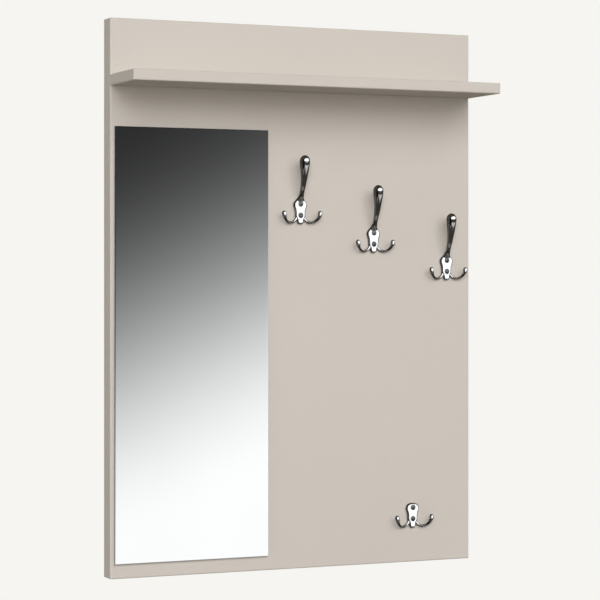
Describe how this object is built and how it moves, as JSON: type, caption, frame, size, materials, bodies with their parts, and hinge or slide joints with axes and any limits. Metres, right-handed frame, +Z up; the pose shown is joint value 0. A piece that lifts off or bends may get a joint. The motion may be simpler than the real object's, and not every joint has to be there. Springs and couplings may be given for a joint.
{
  "type": "mirror with hooks",
  "caption": "Wall-hung hallway panel: a thick board with a full-width shelf, a tall bonded mirror beside a falling row of cast pronged coat hooks, and keyhole hangers on the back.",
  "frame": {"origin": "centre of the panel's back face, on the wall's plane", "axes": "+Z up along the panel's height, +Y into the wall, so the front faces -Y and +X runs to the right as seen from the front"},
  "size_m": [0.65, 0.144, 0.9],
  "materials": {
    "board": "satin",
    "rail": "matte",
    "edge_band": "satin",
    "dowel": "matte",
    "mirror_glass": "polished",
    "safety_film": "satin",
    "foam_tape": "matte",
    "hook_chrome": "polished",
    "dark_screw": "satin",
    "zinc_screw": "satin",
    "hanger_steel": "satin"
  },
  "bodies": {
    "root": {"front_board": "board", "rear_rail_top": "rail", "rear_rail_middle": "rail", "rear_rail_bottom": "rail", "rear_stile_left": "rail", "rear_stile_right": "rail", "edge_band_left": "edge_band", "edge_band_right": "edge_band", "edge_band_top": "edge_band", "edge_band_bottom": "edge_band", "shelf_board": "board", "shelf_band_front": "edge_band", "shelf_band_left": "edge_band", "shelf_band_right": "edge_band", "shelf_screws": "zinc_screw", "shelf_dowels": "dowel", "mirror_glass": "mirror_glass", "mirror_safety_film": "safety_film", "mirror_tape": "foam_tape", "triple_hook_upper": "hook_chrome", "triple_hook_middle": "hook_chrome", "triple_hook_lower": "hook_chrome", "double_hook": "hook_chrome", "screws_upper_hook": "dark_screw", "screws_middle_hook": "dark_screw", "screws_lower_hook": "dark_screw", "screws_double_hook": "dark_screw", "hanger_plate_left": "hanger_steel", "hanger_plate_right": "hanger_steel", "hanger_screws": "zinc_screw"}
  },
  "joints": []
}
